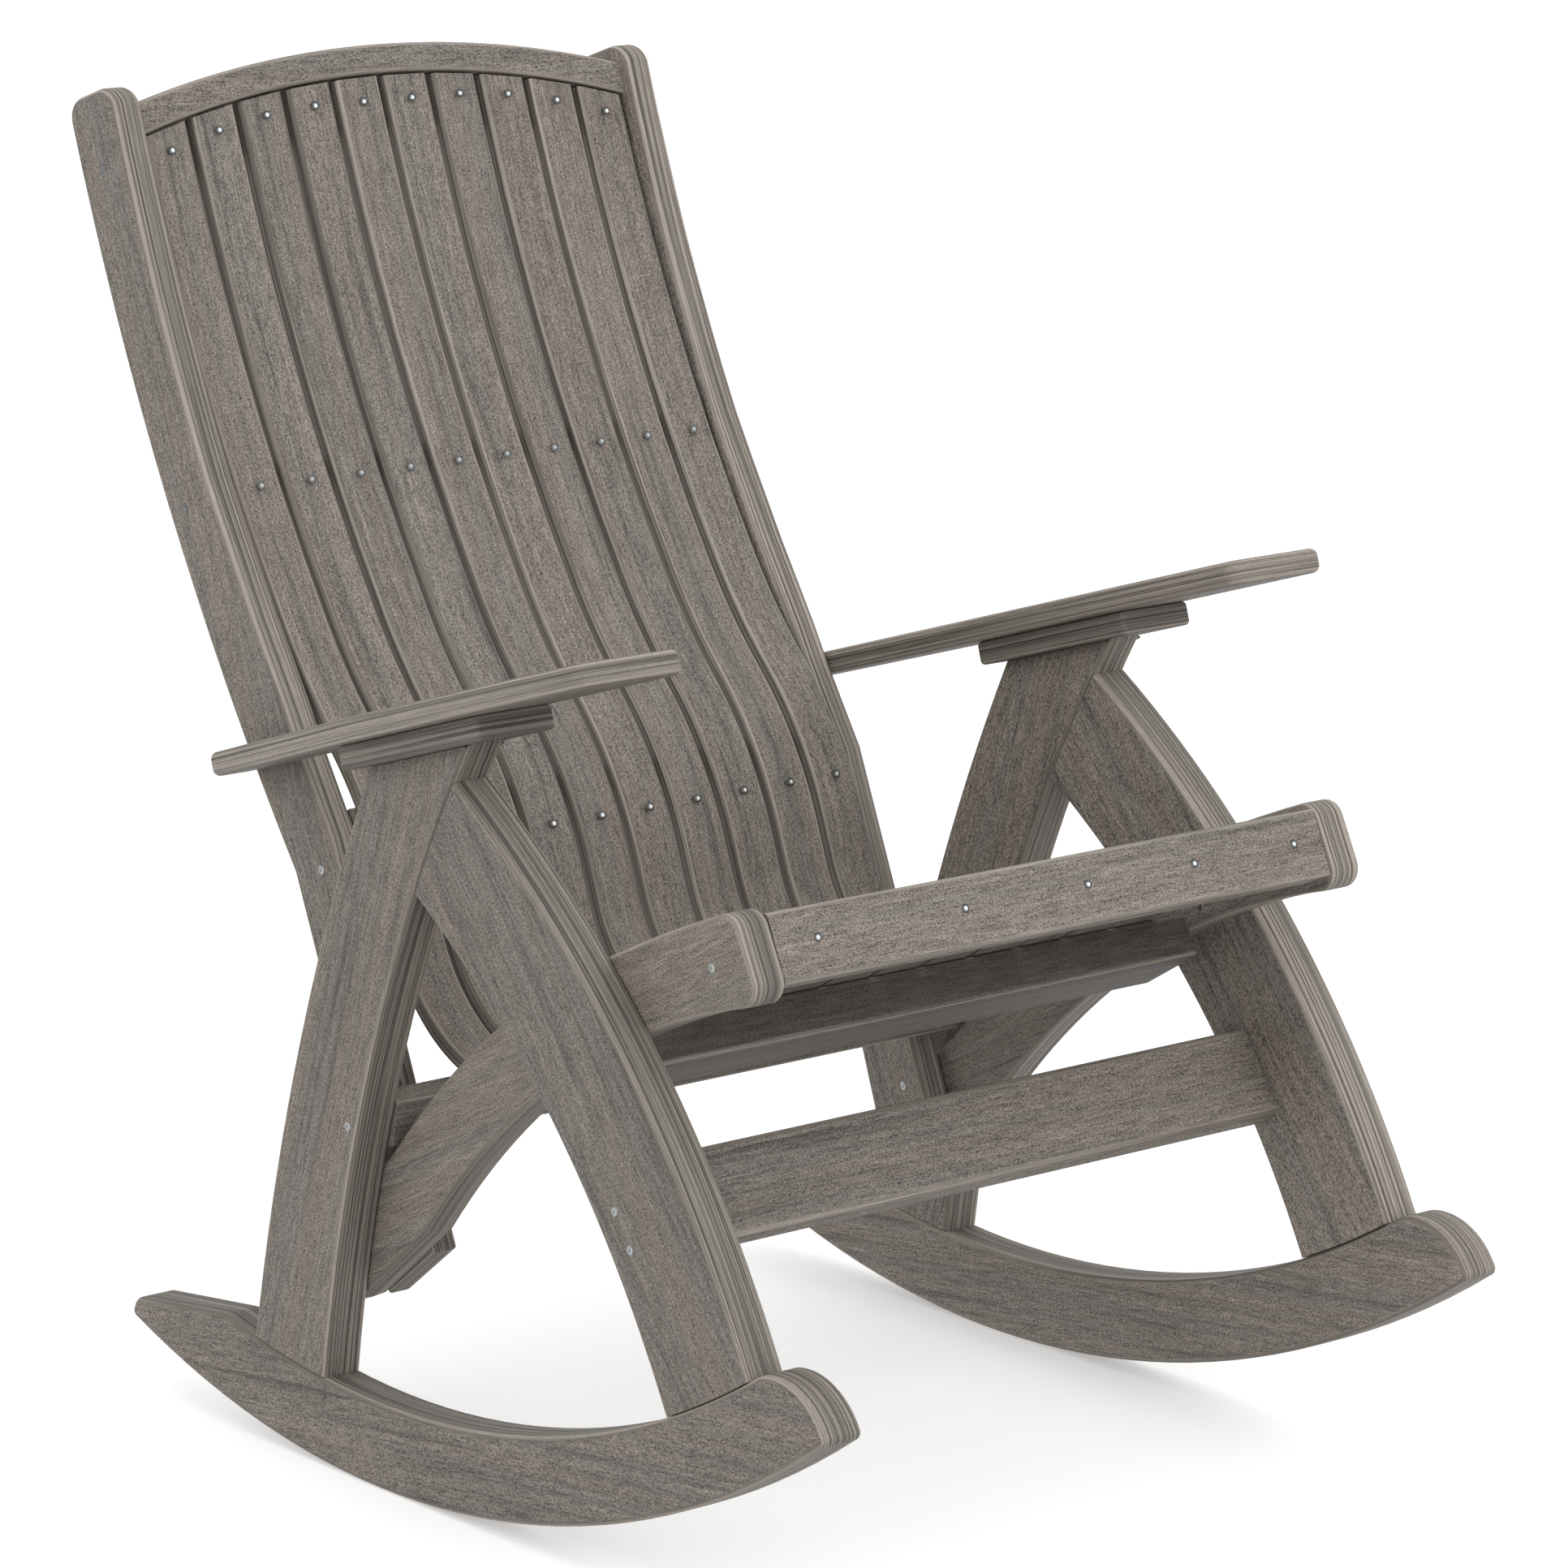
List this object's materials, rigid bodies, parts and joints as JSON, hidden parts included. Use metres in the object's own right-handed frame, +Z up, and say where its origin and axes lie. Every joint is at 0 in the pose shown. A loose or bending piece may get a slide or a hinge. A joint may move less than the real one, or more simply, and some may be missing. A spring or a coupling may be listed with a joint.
{
  "type": "rocking adirondack chair",
  "caption": "Slatted outdoor rocking chair with a tall bent-slat back, a scooped seat, broad flat arms and curved floor runners.",
  "frame": {"origin": "on the floor under the middle of the chair, where the box around it is centred", "axes": "+X to the right hand of someone facing the chair's front from the front, +Y to the back, +Z up"},
  "size_m": [0.762, 1.0587, 1.0923],
  "materials": {
    "boards": "weathered grey-brown boards with fine long grain, satin"
  },
  "bodies": {
    "root": {"left_runner": "boards", "right_runner": "boards", "left_rear_leg": "boards", "right_rear_leg": "boards", "left_front_leg": "boards", "right_front_leg": "boards", "left_arm_cleat": "boards", "right_arm_cleat": "boards", "left_arm": "boards", "right_arm": "boards", "left_back_post": "boards", "right_back_post": "boards", "left_seat_side": "boards", "right_seat_side": "boards", "slat_1": "boards", "slat_2": "boards", "slat_3": "boards", "slat_4": "boards", "slat_5": "boards", "slat_6": "boards", "slat_7": "boards", "slat_8": "boards", "slat_9": "boards", "slat_10": "boards", "crest_rail": "boards", "mid_rail": "boards", "lumbar_rail": "boards", "front_seat_rail": "boards", "front_board": "boards", "front_stretcher": "boards", "rear_stretcher": "boards"}
  },
  "joints": []
}
